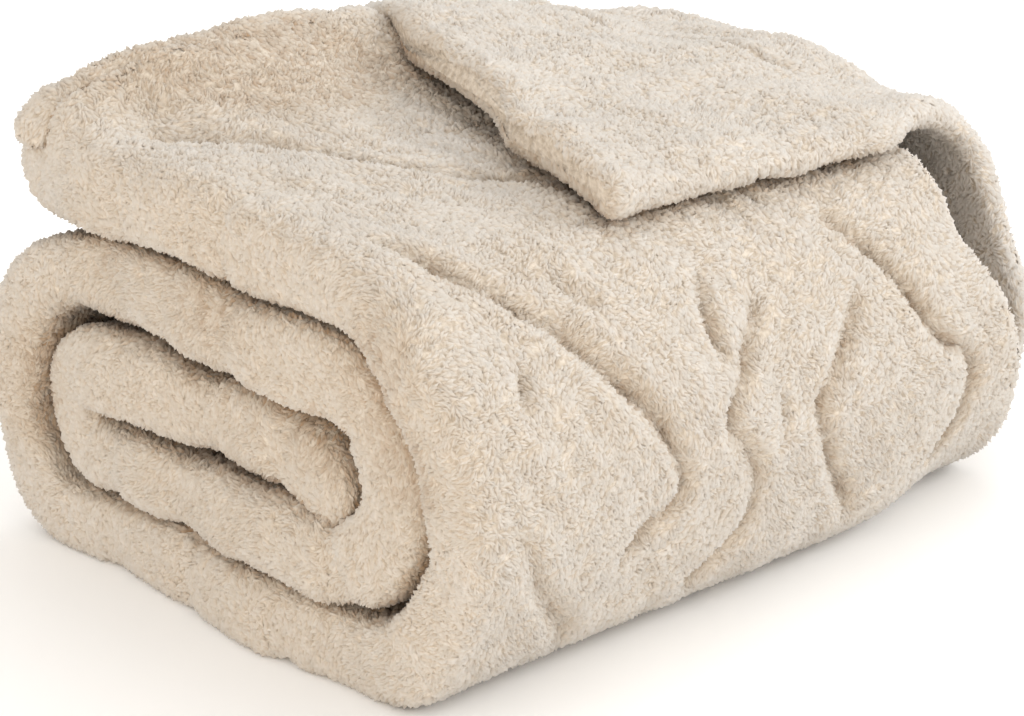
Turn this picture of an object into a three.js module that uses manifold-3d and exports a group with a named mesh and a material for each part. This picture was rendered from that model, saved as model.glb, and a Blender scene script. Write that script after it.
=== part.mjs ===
// Plush blanket, folded lengthwise into a thick strip and wound into a flattened roll.
// The last turn ends over the back of the roll, where its upper ply is drawn forward over
// the top as a loose corner and hangs down over the far end.
// Millimetres: x runs along the roll, -y is its long front side, z is up.

import * as THREE from "three";
import Module from "manifold-3d";

const plushColour = 0xddcbb0;
const plushRoughness = 0.95;

// The wound strip, before the roll is given its taper.
const nearEnd = -168;
const farEnd = 143;
const turnStep = THREE.MathUtils.degToRad(24);
const foldFullness = 0.78;
const foldSteps = 5;
const innerColumns = 4;
const coverColumns = 50;
const endAngles = [30, 60, 80];
const endDrawIn = 8;

// Corners of the strip's centreline as the near end shows it, from the core outwards.
// Each corner is rounded with the radius bend, thick is the strip's thickness there, and
// step is the spacing of its sections on the way to it.
const windRows = [
  { name: "core end", y: -53, z: 69, bend: 0, thick: 30, step: 24 },
  { name: "core swell", y: -22, z: 79, bend: 120, thick: 33, step: 24 },
  { name: "core run", y: 20, z: 79, bend: 300, thick: 28, step: 24 },
  { name: "core turn above", y: 87, z: 77, bend: 15.4, thick: 28, step: 24 },
  { name: "core turn below", y: 87, z: 46, bend: 15.4, thick: 28, step: 24 },
  { name: "second turn sag", y: 5, z: 45, bend: 300, thick: 29, step: 24 },
  { name: "second turn front below", y: -88, z: 44, bend: 31, thick: 30, step: 24 },
  { name: "second turn front above", y: -87, z: 110, bend: 32, thick: 35, step: 24 },
  { name: "second turn crown", y: 10, z: 114, bend: 300, thick: 33, step: 24 },
  { name: "second turn hump", y: 62, z: 113, bend: 200, thick: 36, step: 24 },
  { name: "back above", y: 112, z: 111, bend: 34, thick: 27, step: 24 },
  { name: "back wall", y: 116, z: 56, bend: 70, thick: 20, step: 24 },
  { name: "back below", y: 112, z: 14.5, bend: 20, thick: 29, step: 24 },
  { name: "underside", y: 0, z: 14.5, bend: 300, thick: 29, step: 30 },
  { name: "foot", y: -95, z: 14.5, bend: 28, thick: 29, step: 30 },
  { name: "front bulge", y: -122, z: 58, bend: 70, thick: 29, step: 7 },
  { name: "front shoulder", y: -119, z: 112, bend: 45, thick: 29, step: 7 },
  { name: "shoulder", y: -80, z: 144, bend: 60, thick: 31, step: 7 },
  { name: "crown", y: 5, z: 150, bend: 300, thick: 33, step: 7 },
  { name: "outer end", y: 96, z: 147, bend: 0, thick: 35, step: 8 },
];

// Taper towards the far end, as shares of the near end's size.
const farHeightLoss = 0.2;
const farFrontLoss = 0.14;
const farBackLoss = 0.05;
const taperFoot = 60;
const taperReach = 1.1;
const taperLength = 308;
// The foot of the far end is rounded off towards the back between these places along the roll.
const footCorner = { round: 0.16, from: 55, to: 115 };

// Folds at the two ends of the strip stand a little in and out.
const endWave = { depth: 3.5, length: 170, phase: 0.6 };

// Creases of the outer face, placed by hand: x along the roll and the way up the cloth from the
// foot of the long side, for a few points of each line.
const creaseRows = [
  {
    name: "long sweep",
    depth: 6,
    line: [[-146, 196], [-134, 178], [-108, 147], [-84, 120], [-62, 96], [-57, 78], [-76, 66], [-92, 52]],
  },
  { name: "under the corner", depth: 3, line: [[-92, 166], [-87, 150], [-72, 140]] },
  { name: "left foot", depth: 4.5, line: [[-154, 112], [-151, 95], [-140, 76], [-120, 50], [-95, 26]] },
  { name: "left tick", depth: 3.5, line: [[-121, 138], [-127, 126], [-135, 115]] },
  { name: "middle upper", depth: 5, line: [[-20, 152], [-27, 137], [-31, 122], [-22, 113]] },
  {
    name: "middle sweep",
    depth: 5.5,
    line: [[2, 135], [-10, 124], [-24, 110], [-34, 98], [-24, 84], [-16, 70], [-22, 50], [-44, 28]],
  },
  { name: "middle dart", depth: 3.5, line: [[-10, 104], [-4, 92], [-11, 76]] },
  {
    name: "leaf left",
    depth: 6,
    line: [[48, 132], [36, 116], [20, 101], [15, 88], [22, 68], [36, 48], [46, 30]],
  },
  {
    name: "leaf right",
    depth: 6.5,
    line: [[48, 166], [58, 146], [68, 127], [80, 106], [98, 96], [105, 82], [98, 60], [84, 38]],
  },
  {
    name: "ridge behind",
    depth: 3.5,
    line: [[-140, 318], [-120, 300], [-98, 270], [-78, 240], [-58, 222], [-30, 208]],
  },
  { name: "under ply", depth: 4, line: [[10, 210], [22, 180], [30, 160]] },
];
// Each is a trough of this width with a soft roll beside it, and fades over tail at both ends.
const creasing = { width: 6.4, roll: 1.4, rollAt: 11, rollWidth: 5, tail: 14, pointsPerSpan: 6 };
const creaseFades = { foot: 12, full: 34, ends: 16 };

// Above the bulge of the long side the strip's far fold stands back inside the upper ply.
const farRecess = { depth: 18, from: 95, to: 140 };

// The cover rises in a hollow slope from a slanting crease to the rim along its back edge.
const rising = {
  under: 166, // about the cover's own z there; the slope ends at the rim's middle
  power: 1.7,
  creaseX: -125,
  creaseY: 58,
  slant: 1.75,
  least: 14,
  most: 68,
  topY: 86,
  endX: 15,
  fade: 24,
};
const rimHides = { from: 90, to: 108 };
const coverFoot = 60;

// Rim along the back edge: the upper ply, turned up and rolled over on itself.
const rimRows = [
  { x: -164, y: 98, z: 160, radius: 9 },
  { x: -150, y: 96, z: 169.5, radius: 9.5 },
  { x: -134, y: 94, z: 176.5, radius: 9.5 },
  { x: -108, y: 92, z: 185, radius: 9 },
  { x: -60, y: 91, z: 190, radius: 9 },
  { x: -20, y: 91, z: 189.5, radius: 9.5 },
  { x: 20, y: 92, z: 171, radius: 9 },
];
const rimSides = 14;
const rimRings = 14;
const rimCrowding = 1.4; // draws the rings closer at the near end
const rimEndShare = 0.97; // how far the near end is rounded off

// Upper ply over the top: height of its middle above the cover, from the back to the front edge.
const plyThick = 13;
const plyRows = [
  { y: 92, lift: 18 },
  { y: 70, lift: 19 },
  { y: 20, lift: 19 },
  { y: -40, lift: 14 },
  { y: -84, lift: 12 },
  { y: -100, lift: 12 },
];
// Behind the first of these rows it turns down over the back; share is the way to the front edge.
const plyBackRows = [
  { share: 0, y: 107, lift: -20 },
  { share: 0.07, y: 114, lift: -3 },
  { share: 0.14, y: 107, lift: 11 },
  { share: 0.21, y: 92, lift: 18 },
];
// Shares of its way from the left edge to the end of the skirt over the far end.
const plyShares = { cornerFrom: 0.46, topEnd: 0.6, skirtFrom: 0.7, turnEnd: 0.76, skirtFull: 0.9 };
// Where its left edge lies, from the back to the tip of the loose corner.
const plyLeftRows = [
  { y: 110, x: 8 },
  { y: 40, x: -13 },
  { y: 5, x: -22 },
  { y: -25, x: -34 },
  { y: -95, x: -49 },
];
// Towards the back it lies higher on its left and lower on its right.
const plyCant = { left: 6.5, right: -4, leftX: 0, rightX: 70, frontY: -20, backY: 80 };
const plyTurn = { x: 129, radius: 39, drop: 101, tuck: 22, backDraw: 34, backShare: 0.3, cornerLift: 26 };
const plyFront = { tipY: -84, y: -82, cornerY: -67, skirtY: -104 };
const plyEdge = { roll: 1.5, rim: 0.5 };
const plyAlong = 24;
const plyAcross = 14;

const wasm = await Module();
wasm.setup();

const lerp = THREE.MathUtils.lerp;
const smooth = THREE.MathUtils.smoothstep;

// Samples a polyline with rounded corners: position, direction and thickness at each step.
function roundedPath(rows) {
  const corners = rows.map((row) => new THREE.Vector2(row.y, row.z));
  const samples = [];
  const add = (point, heading, thick, corner) => samples.push({ point, heading, thick, corner });
  let from = corners[0];
  let fromThick = rows[0].thick;
  for (let i = 1; i < corners.length; i++) {
    const heading = corners[i].clone().sub(corners[i - 1]).normalize();
    const angleIn = heading.angle();
    let turn = 0;
    let trim = 0;
    if (i < corners.length - 1) {
      const angleOut = corners[i + 1].clone().sub(corners[i]).angle();
      turn = Math.atan2(Math.sin(angleOut - angleIn), Math.cos(angleOut - angleIn));
      trim = rows[i].bend * Math.tan(Math.abs(turn) / 2);
    }
    const to = corners[i].clone().addScaledVector(heading, -trim);
    const pieces = Math.max(1, Math.round(from.distanceTo(to) / rows[i].step));
    for (let k = samples.length ? 1 : 0; k <= pieces; k++) {
      const share = k / pieces;
      add(from.clone().lerp(to, share), angleIn, lerp(fromThick, rows[i].thick, share), "");
    }
    if (trim > 0) {
      const side = Math.sign(turn);
      const centre = new THREE.Vector2(-Math.sin(angleIn), Math.cos(angleIn))
        .multiplyScalar(side * rows[i].bend)
        .add(to);
      const arc = rows[i].bend * Math.abs(turn);
      const bends = Math.max(1, Math.ceil(Math.abs(turn) / turnStep), Math.round(arc / rows[i + 1].step));
      for (let k = 1; k <= bends; k++) {
        const angle = angleIn + (turn * k) / bends;
        const arm = new THREE.Vector2(Math.sin(angle), -Math.cos(angle));
        arm.multiplyScalar(side * rows[i].bend);
        add(centre.clone().add(arm), angle, rows[i].thick, rows[i].name);
      }
    }
    from = samples[samples.length - 1].point;
    fromThick = rows[i].thick;
  }
  let length = 0;
  samples.forEach((sample, i) => {
    if (i > 0) length += sample.point.distanceTo(samples[i - 1].point);
    sample.length = length;
  });
  return samples;
}

// Taper of the whole roll towards its far end, which keeps the underside flat.
function taper(point) {
  const share = THREE.MathUtils.clamp((point.x - nearEnd) / taperLength, 0, taperReach);
  const high = smooth(point.z, 0, taperFoot);
  const rounded = footCorner.round * smooth(point.x, footCorner.from, footCorner.to) * (1 - high);
  const loss = point.y < 0 ? farFrontLoss * share * high + rounded : farBackLoss * share;
  const z = Math.max(0, point.z * (1 - farHeightLoss * share));
  return new THREE.Vector3(point.x, point.y * (1 - loss), z);
}

const creaseLines = creaseRows.map(({ depth, line }) => {
  const curve = new THREE.SplineCurve(line.map(([x, length]) => new THREE.Vector2(x, length)));
  const points = curve.getPoints((line.length - 1) * creasing.pointsPerSpan);
  return { depth, points };
});

// Distance from a spot to a line of points, the way along the line to its nearest point, and the
// whole way.
function nearestOn(points, spot) {
  let away = Infinity;
  let along = 0;
  let whole = 0;
  for (let i = 1; i < points.length; i++) {
    const run = points[i].clone().sub(points[i - 1]);
    const length = run.length();
    const toSpot = spot.clone().sub(points[i - 1]);
    const share = THREE.MathUtils.clamp(toSpot.dot(run) / (length * length), 0, 1);
    const distance = toSpot.addScaledVector(run, -share).length();
    if (distance < away) {
      away = distance;
      along = whole + share * length;
    }
    whole += length;
  }
  return { away, along, whole };
}

// Relief of the outer face, a sum over the creases of roll * exp(-((away - rollAt) / rollWidth)^2)
// - depth * exp(-(away / width)^2). It fades out at the foot and at both ends of the roll.
function creaseRelief(x, length, low, high) {
  const { width, roll, rollAt, rollWidth, tail } = creasing;
  const spot = new THREE.Vector2(x, length);
  let relief = 0;
  for (const { depth, points } of creaseLines) {
    const { away, along, whole } = nearestOn(points, spot);
    const ends = smooth(along, 0, tail) * (1 - smooth(along, whole - tail, whole));
    const beside = roll * Math.exp(-(((away - rollAt) / rollWidth) ** 2));
    relief += ends * (beside - depth * Math.exp(-((away / width) ** 2)));
  }
  const inside = smooth(x, low, low + creaseFades.ends) * (1 - smooth(x, high - creaseFades.ends, high));
  return relief * inside * smooth(length, creaseFades.foot, creaseFades.full);
}

function evenColumns(low, high, count) {
  return Array.from({ length: count + 1 }, (_, i) => lerp(low, high, i / count));
}

// How far the cover's outer face rises above its own thickness at (x, y) towards the rim:
// height * share^power, with share the way from the crease to the rim.
function rise(x, y) {
  const { under, power, creaseX, creaseY, slant, least, most, topY, endX, fade } = rising;
  const start = THREE.MathUtils.clamp(creaseY - slant * (x - creaseX), least, most);
  const share = THREE.MathUtils.clamp((y - start) / (topY - start), 0, 1);
  const height = Math.max(0, blendRows(rimRows, "x", x, "z") - under);
  const ended = smooth(x, endX - fade, endX + fade);
  return height * share ** power * (1 - ended) * (1 - smooth(y, rimHides.from, rimHides.to));
}

// Section of the strip across its width: outer face, far fold, inner face, near fold.
// Each point holds x, its offset out of the centreline, and its share of the outer face's rise.
// The folds are fuller than a half circle: both shares of the circle are raised to foldFullness.
function stripSection(low, high, half, columns, reliefAt) {
  const full = (share) => Math.sign(share) * Math.abs(share) ** foldFullness;
  const fold = (x, side) =>
    Array.from({ length: foldSteps - 1 }, (_, i) => {
      const angle = (Math.PI * (i + 1)) / foldSteps;
      const out = side * full(Math.cos(angle));
      return { x: x + side * half * full(Math.sin(angle)), out: half * out, lift: Math.max(0, out) };
    });
  const outer = evenColumns(low, high, columns).map((x) => ({ x, out: half + reliefAt(x), lift: 1 }));
  const inner = evenColumns(high, low, innerColumns).map((x) => ({ x, out: -half, lift: 0 }));
  return [...outer, ...fold(high, 1), ...inner, ...fold(low, -1)];
}

// Carries the section along the path. closeStart and closeEnd round off a free end of the strip.
function windStrip(path, { closeStart, closeEnd, isCover }) {
  const startLength = path[0].length;
  const stations = path.map((sample) => ({ ...sample, squeeze: 1, ahead: 0 }));
  const rounding = (sample, side, angle) => {
    const turned = THREE.MathUtils.degToRad(angle);
    return { ...sample, squeeze: Math.cos(turned), ahead: side * Math.sin(turned) };
  };
  if (closeStart) stations.unshift(...endAngles.map((angle) => rounding(path[0], -1, angle)).reverse());
  if (closeEnd) stations.push(...endAngles.map((angle) => rounding(path[path.length - 1], 1, angle)));
  const points = [];
  let ringSize = 0;
  for (const { point, heading, thick, squeeze, ahead, ...station } of stations) {
    const length = station.length - startLength;
    const half = (thick / 2) * squeeze;
    const wave = Math.sin((2 * Math.PI * length) / endWave.length + endWave.phase);
    const recess = isCover ? farRecess.depth * smooth(length, farRecess.from, farRecess.to) : 0;
    const low = nearEnd + endWave.depth * (1 + wave) + (1 - squeeze) * endDrawIn + half;
    const high = farEnd - recess - endWave.depth * (1 - wave) - (1 - squeeze) * endDrawIn - half;
    const reliefAt = (x) => (isCover ? creaseRelief(x, length, low, high) : 0);
    const section = stripSection(low, high, half, isCover ? coverColumns : innerColumns, reliefAt);
    ringSize = section.length;
    for (const { x, out, lift } of section) {
      const spot = point.x - out * Math.sin(heading);
      const n = out + (isCover ? lift * squeeze * rise(x, spot) : 0);
      const y = point.x - n * Math.sin(heading) + ahead * (thick / 2) * Math.cos(heading);
      const z = point.y + n * Math.cos(heading) + ahead * (thick / 2) * Math.sin(heading);
      points.push(taper(new THREE.Vector3(x, y, z)));
    }
  }
  return closedTube(points, ringSize);
}

// Closed tube from rings of equal length, with a fan over its first and last ring.
function closedTube(points, ringSize) {
  const rings = points.length / ringSize;
  const index = [];
  for (let i = 0; i < rings - 1; i++) {
    for (let j = 0; j < ringSize; j++) {
      const a = i * ringSize + j;
      const b = i * ringSize + ((j + 1) % ringSize);
      const [c, d] = [b + ringSize, a + ringSize];
      const alongAC = points[a].distanceTo(points[c]) < points[b].distanceTo(points[d]);
      index.push(...(alongAC ? [a, b, c, a, c, d] : [a, b, d, b, c, d]));
    }
  }
  const cap = (start, flip) => {
    const centre = new THREE.Vector3();
    for (let j = 0; j < ringSize; j++) centre.addScaledVector(points[start + j], 1 / ringSize);
    points.push(centre);
    for (let j = 0; j < ringSize; j++) {
      const a = start + j;
      const b = start + ((j + 1) % ringSize);
      index.push(...(flip ? [points.length - 1, b, a] : [points.length - 1, a, b]));
    }
  };
  const lastRing = (rings - 1) * ringSize;
  cap(0, true);
  cap(lastRing, false);
  return solid(points, index);
}

// A manifold solid, turned right way out if its volume comes out negative.
function solid(points, index) {
  let volume = 0;
  for (let i = 0; i < index.length; i += 3) {
    const [a, b, c] = [points[index[i]], points[index[i + 1]], points[index[i + 2]]];
    volume += a.dot(new THREE.Vector3().crossVectors(b, c));
  }
  const triVerts = Uint32Array.from(index);
  if (volume < 0) {
    for (let i = 0; i < triVerts.length; i += 3) {
      [triVerts[i], triVerts[i + 1]] = [triVerts[i + 1], triVerts[i]];
    }
  }
  const vertProperties = Float32Array.from(points.flatMap((point) => point.toArray()));
  return new wasm.Manifold(new wasm.Mesh({ numProp: 3, vertProperties, triVerts }));
}

// Height of the cover's outer face above a place y across the roll, before the taper.
function coverHeight(path) {
  const faces = path
    .map(({ point, heading, thick }) => ({
      y: point.x - (thick / 2) * Math.sin(heading),
      z: point.y + (thick / 2) * Math.cos(heading),
    }))
    .filter(({ z }) => z > coverFoot);
  return (y) => {
    let i = faces.findIndex((face) => face.y >= y);
    if (i < 0) i = faces.length - 1;
    i = Math.max(1, i);
    const share = (y - faces[i - 1].y) / (faces[i].y - faces[i - 1].y);
    return lerp(faces[i - 1].z, faces[i].z, share);
  };
}

// A row of a table at a value of its key, with the other columns blended smoothly between rows.
function blendRows(rows, key, value, column) {
  const up = rows[rows.length - 1][key] > rows[0][key];
  let i = rows.findIndex((row) => (up ? row[key] >= value : row[key] <= value));
  if (i < 0) i = rows.length - 1;
  i = Math.max(1, i);
  const share = THREE.MathUtils.clamp((value - rows[i - 1][key]) / (rows[i][key] - rows[i - 1][key]), 0, 1);
  return lerp(rows[i - 1][column], rows[i][column], share * share * (3 - 2 * share));
}

// The rim is a tube that follows the back edge, closed at both ends and round at the near one.
function rimRoll() {
  const points = [];
  for (let i = 0; i <= rimRings; i++) {
    const x = lerp(rimRows[0].x, rimRows[rimRows.length - 1].x, (i / rimRings) ** rimCrowding);
    const y = blendRows(rimRows, "x", x, "y");
    const z = blendRows(rimRows, "x", x, "z");
    const ended = Math.min(1, (x - rimRows[0].x) / rimRows[0].radius);
    const radius = blendRows(rimRows, "x", x, "radius") * Math.sqrt(1 - rimEndShare * (1 - ended) ** 2);
    for (let j = 0; j < rimSides; j++) {
      const angle = (2 * Math.PI * j) / rimSides;
      const spot = new THREE.Vector3(x, y + radius * Math.cos(angle), z + radius * Math.sin(angle));
      points.push(taper(spot));
    }
  }
  return closedTube(points, rimSides);
}

// Middle of the upper ply. along runs from its left edge to the far end and down over it,
// across from the back edge to the front edge.
function plyMiddle(along, across, heightAt) {
  const { cornerFrom, topEnd, skirtFrom, turnEnd, skirtFull } = plyShares;
  const back = plyBackRows[plyBackRows.length - 1];
  const isBack = across < back.share;
  const edge = lerp(plyFront.tipY, plyFront.y, smooth(along, 0, topEnd));
  const corner = lerp(edge, plyFront.cornerY, smooth(along, cornerFrom, topEnd));
  const front = lerp(corner, plyFront.skirtY, smooth(along, skirtFrom, skirtFull));
  const forward = (across - back.share) / (1 - back.share);
  const y = isBack ? blendRows(plyBackRows, "share", across, "y") : lerp(back.y, front, forward);
  const flat = isBack ? blendRows(plyBackRows, "share", across, "lift") : blendRows(plyRows, "y", y, "lift");
  const { x: turnX, radius, drop, tuck, backDraw, backShare, cornerLift } = plyTurn;
  const angle = (THREE.MathUtils.clamp((along - topEnd) / (turnEnd - topEnd), 0, 1) * Math.PI) / 2;
  const fall = Math.max(0, along - turnEnd) / (1 - turnEnd);
  const behind = (1 - smooth(across, 0, backShare)) * smooth(along, cornerFrom, turnEnd);
  const left = blendRows(plyLeftRows, "y", y, "x");
  const reach = along < topEnd ? lerp(left, turnX, along / topEnd) : turnX + radius * Math.sin(angle);
  const x = reach - tuck * fall ** 2 - backDraw * behind;
  const cant = lerp(plyCant.left, plyCant.right, smooth(x, plyCant.leftX, plyCant.rightX));
  const lift = flat + cant * smooth(y, plyCant.frontY, plyCant.backY);
  const ends = Math.abs(2 * across - 1) ** 3;
  const z = heightAt(y) + lift - radius * (1 - Math.cos(angle)) - fall * (drop - cornerLift * ends);
  return new THREE.Vector3(x, y, z);
}

// The upper ply as a closed sheet of even thickness with rounded edges.
function upperPly(heightAt) {
  const at = (i, j) => plyMiddle(i / plyAlong, j / plyAcross, heightAt);
  const sides = [1, -1].map((side) => {
    const grid = [];
    for (let i = 0; i <= plyAlong; i++) {
      for (let j = 0; j <= plyAcross; j++) {
        const du = at(Math.min(i + 0.5, plyAlong), j).sub(at(Math.max(i - 0.5, 0), j));
        const dv = at(i, Math.min(j + 0.5, plyAcross)).sub(at(i, Math.max(j - 0.5, 0)));
        const normal = new THREE.Vector3().crossVectors(dv, du).normalize();
        const border = i === 0 || j === 0 || j === plyAcross || i === plyAlong;
        const rolled = i === 1 || i === 2;
        const half = (plyThick / 2) * (border ? plyEdge.rim : rolled ? plyEdge.roll : 1);
        grid.push(taper(at(i, j).addScaledVector(normal, side * half)));
      }
    }
    return grid;
  });
  const columns = plyAcross + 1;
  const count = sides[0].length;
  const points = [...sides[0], ...sides[1]];
  const index = [];
  for (let i = 0; i < plyAlong; i++) {
    for (let j = 0; j < plyAcross; j++) {
      const a = i * columns + j;
      const quad = [a, a + 1, a + columns + 1, a, a + columns + 1, a + columns];
      index.push(...quad);
      index.push(...quad.reverse().map((v) => v + count));
    }
  }
  const border = [];
  for (let j = 0; j < plyAcross; j++) border.push(j);
  for (let i = 0; i < plyAlong; i++) border.push(i * columns + plyAcross);
  for (let j = plyAcross; j > 0; j--) border.push(plyAlong * columns + j);
  for (let i = plyAlong; i > 0; i--) border.push(i * columns);
  border.forEach((a, k) => {
    const b = border[(k + 1) % border.length];
    index.push(b, a, a + count, b, a + count, b + count);
  });
  return solid(points, index);
}

function asGeometry(manifold) {
  const mesh = manifold.getMesh();
  const geometry = new THREE.BufferGeometry();
  geometry.setAttribute("position", new THREE.BufferAttribute(mesh.vertProperties, 3));
  geometry.setIndex(new THREE.BufferAttribute(mesh.triVerts, 1));
  return geometry;
}

// The wound path is built in two parts that meet at the foot: the plain inner turns, and the
// cover with its finer sections and relief.
const path = roundedPath(windRows);
const foot = path.findIndex(({ corner }) => corner === "foot") - 1;
const coverPath = path.slice(foot);
const innerEnds = { closeStart: true, closeEnd: true, isCover: false };
const coverEnds = { closeStart: false, closeEnd: true, isCover: true };
const inner = windStrip(path.slice(0, foot + 1), innerEnds);
const cover = windStrip(coverPath, coverEnds);
const heightAt = coverHeight(coverPath);
const roll = inner.add(cover).add(rimRoll()).add(upperPly(heightAt));

const geometry = asGeometry(roll);
geometry.computeBoundingBox();
const centre = geometry.boundingBox.getCenter(new THREE.Vector3());
geometry.translate(-centre.x, -centre.y, 0);

const blanket = new THREE.Mesh(
  geometry,
  new THREE.MeshStandardMaterial({ color: plushColour, roughness: plushRoughness, metalness: 0 }),
);
blanket.name = "blanket";

const model = new THREE.Group();
model.add(blanket);
export default model;
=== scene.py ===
import math
import bpy
import numpy as np
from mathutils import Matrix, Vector
from mathutils.bvhtree import BVHTree


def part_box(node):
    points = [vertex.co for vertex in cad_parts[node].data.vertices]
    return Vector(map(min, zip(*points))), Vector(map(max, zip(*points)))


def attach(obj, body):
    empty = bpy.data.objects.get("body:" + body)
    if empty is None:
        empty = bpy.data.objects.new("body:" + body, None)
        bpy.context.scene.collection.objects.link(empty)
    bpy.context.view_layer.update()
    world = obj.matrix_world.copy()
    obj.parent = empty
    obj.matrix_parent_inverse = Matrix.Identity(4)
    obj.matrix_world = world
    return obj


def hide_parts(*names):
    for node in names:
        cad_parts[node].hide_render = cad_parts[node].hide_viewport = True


# Plush dog blanket: folded in three to a strip and wound into a flattened roll, with its loose
# corner laid forward over the top. Lengths are in millimetres until a mesh is made, in the
# roll's own frame: x along the roll, -y the long front side, z up.

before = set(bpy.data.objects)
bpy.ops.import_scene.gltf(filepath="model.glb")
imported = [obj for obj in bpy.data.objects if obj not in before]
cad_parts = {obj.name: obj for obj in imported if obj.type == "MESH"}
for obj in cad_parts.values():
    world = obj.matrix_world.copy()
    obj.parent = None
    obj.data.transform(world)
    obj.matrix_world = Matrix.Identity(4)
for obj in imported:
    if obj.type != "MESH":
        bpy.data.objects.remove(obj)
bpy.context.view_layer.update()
mm = 0.001
rollLow = (-167.61, -134.27)  # where the solid's box starts in the roll's own millimetres
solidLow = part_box("blanket")[0]
shift = np.array([solidLow[0] / mm - rollLow[0], solidLow[1] / mm - rollLow[1], 0.0])
print("frame loaded with", len(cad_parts), "node, roll shifted by", shift.round(2))


# Shared helpers


def smooth(value, low, high):  # smooth step from 0 at low to 1 at high
    share = np.clip((value - low) / (high - low), 0, 1)
    return share * share * (3 - 2 * share)


# From a at share 0 to b at share 1.
def mixed(a, b, share):
    return a + (b - a) * share


# A row of a table at a value of its key: the other column is blended smoothly between rows.
def blendRows(rows, key, value, column):
    keys = np.array([row[key] for row in rows], float)
    values = np.array([row[column] for row in rows], float)
    if keys[0] > keys[-1]:
        keys, values = keys[::-1], values[::-1]
    at = np.clip(np.searchsorted(keys, value), 1, len(keys) - 1)
    share = smooth(value, keys[at - 1], keys[at])
    return mixed(values[at - 1], values[at], share)


# Soft lumps of about -1 to 1: a sum of sine waves of nearly one length in random directions,
# sum(sin(2 pi direction . point / length + phase)) / sqrt(waves).
def lumps(points, wavelength, seed, waves=7):
    rng = np.random.default_rng(seed)
    direction = rng.normal(size=(waves, 3))
    direction /= np.linalg.norm(direction, axis=1)[:, None]
    wave = points @ direction.T * (2 * math.pi / wavelength) * rng.uniform(0.7, 1.3, waves)
    return np.sin(wave + rng.uniform(0, 2 * math.pi, waves)).sum(-1) / math.sqrt(waves)


def unit(vectors):
    return vectors / np.maximum(np.linalg.norm(vectors, axis=-1, keepdims=True), 1e-9)


# The wound strip

wound = {
    "nearEnd": -168,
    "farEnd": 143,
    "plySpacing": 0.312,  # of the strip's thickness
    "halfPly": 0.156,  # of the strip's thickness
    "foldFullness": 0.66,  # 1 is a half circle, less is boxier
    "inset": 1.2,  # the pile fills this much outside the cloth
    "innerStep": 9,
    "coverStep": 2.6,
    "arcStep": 0.16,  # radians, the most from one station of an arc to the next
    "topColumns": 116,
    "plainColumns": 11,
    "foldColumns": 16,
    "tightColumns": 9,
    "innerTurn": 0.03,  # share of the width where the cloth turns back inside the near fold
    "hemSlack": 3,  # how unevenly the free hem ends at the far side
    "slackLength": 23,
    "nearFur": 0.14,  # both faces carry pile up to this share of the width
    "farFur": 0.9,  # and again from this share on
}
turns = [
    {"name": "core end", "y": -53, "z": 69, "bend": 0, "thick": 30},
    {"name": "core swell", "y": -22, "z": 79, "bend": 120, "thick": 33},
    {"name": "core run", "y": 20, "z": 79, "bend": 300, "thick": 28},
    {"name": "core turn above", "y": 87, "z": 77, "bend": 15.4, "thick": 28},
    {"name": "core turn below", "y": 87, "z": 46, "bend": 15.4, "thick": 28},
    {"name": "second turn sag", "y": 5, "z": 45, "bend": 300, "thick": 29},
    {"name": "second turn front below", "y": -88, "z": 44, "bend": 31, "thick": 30},
    {"name": "second turn front above", "y": -87, "z": 110, "bend": 32, "thick": 35},
    {"name": "second turn crown", "y": 10, "z": 114, "bend": 300, "thick": 33},
    {"name": "second turn hump", "y": 62, "z": 113, "bend": 200, "thick": 36},
    {"name": "back above", "y": 110.5, "z": 111, "bend": 34, "thick": 27},
    {"name": "back wall", "y": 113.5, "z": 56, "bend": 70, "thick": 20},
    {"name": "back below", "y": 110.5, "z": 14.5, "bend": 20, "thick": 29},
    {"name": "underside", "y": 0, "z": 14.5, "bend": 300, "thick": 29},
    {"name": "foot", "y": -95, "z": 14.5, "bend": 39, "thick": 29},
    {"name": "front bulge", "y": -122, "z": 58, "bend": 70, "thick": 29},
    {"name": "front shoulder", "y": -119, "z": 112, "bend": 45, "thick": 29},
    {"name": "shoulder", "y": -80, "z": 144, "bend": 60, "thick": 31},
    {"name": "crown", "y": 5, "z": 150, "bend": 300, "thick": 33},
    {"name": "outer end", "y": 96, "z": 147, "bend": 0, "thick": 35},
]
footRow = [row["name"] for row in turns].index("foot")  # the cover begins after it
tapering = {
    "length": 308,
    "height": 0.2,
    "front": 0.14,
    "back": 0.05,
    "foot": 60,
    "reach": 1.1,
    "settle": 2.2,
    "settleUnder": 45,
}
footCorner = {"round": 0.16, "from": 55, "to": 115}
endWave = {"depth": 3.5, "length": 170, "phase": 0.6}  # both ends of the roll go in and out by this
endTurns = np.radians([80, 62, 42, 22])  # the rings that round a short hem


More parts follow.
